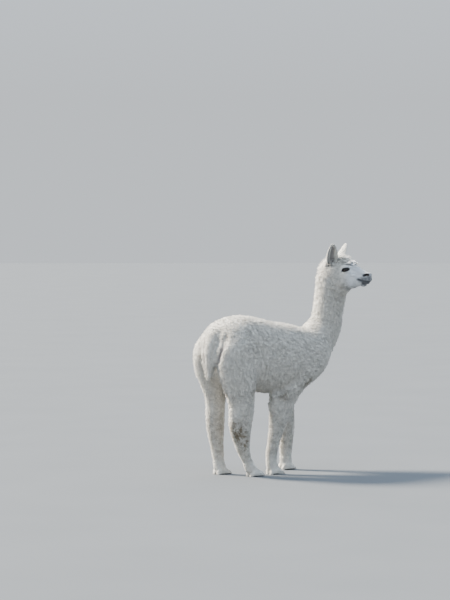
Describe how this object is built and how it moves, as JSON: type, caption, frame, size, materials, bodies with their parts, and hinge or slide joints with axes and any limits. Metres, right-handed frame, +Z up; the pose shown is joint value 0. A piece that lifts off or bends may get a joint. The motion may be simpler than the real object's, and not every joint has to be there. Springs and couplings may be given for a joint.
{
  "type": "life-size alpaca model",
  "caption": "Still life-size huacaya alpaca with cream-white fleece, standing with its long neck raised and its head turned back to its right.",
  "frame": {"origin": "under the middle of the animal's bounding box, at the level of the soles", "axes": "+X is the way the body faces, +Y is the animal's left, +Z is up"},
  "size_m": [1.0876, 0.5162, 1.3838],
  "materials": {
    "fleece": "dense soft crimped cream-white fleece, matt, a little dusty",
    "face_hair": "short soft white hair on the face, ears and feet, matt",
    "eye": "wet, very dark brown",
    "nail_horn": "dull grey-brown horn"
  },
  "bodies": {
    "root": {"trunk": "fleece", "neck": "fleece", "tail": "fleece", "leg_front_left": "fleece", "leg_front_right": "fleece", "leg_hind_left": "fleece", "leg_hind_right": "fleece", "head": "face_hair", "ear_left": "face_hair", "ear_right": "face_hair", "foot_front_left": "face_hair", "foot_front_right": "face_hair", "foot_hind_left": "face_hair", "foot_hind_right": "face_hair", "eye_left": "eye", "eye_right": "eye", "nail_front_left_left": "nail_horn", "nail_front_left_right": "nail_horn", "nail_front_right_left": "nail_horn", "nail_front_right_right": "nail_horn", "nail_hind_left_left": "nail_horn", "nail_hind_left_right": "nail_horn", "nail_hind_right_left": "nail_horn", "nail_hind_right_right": "nail_horn"}
  },
  "joints": []
}
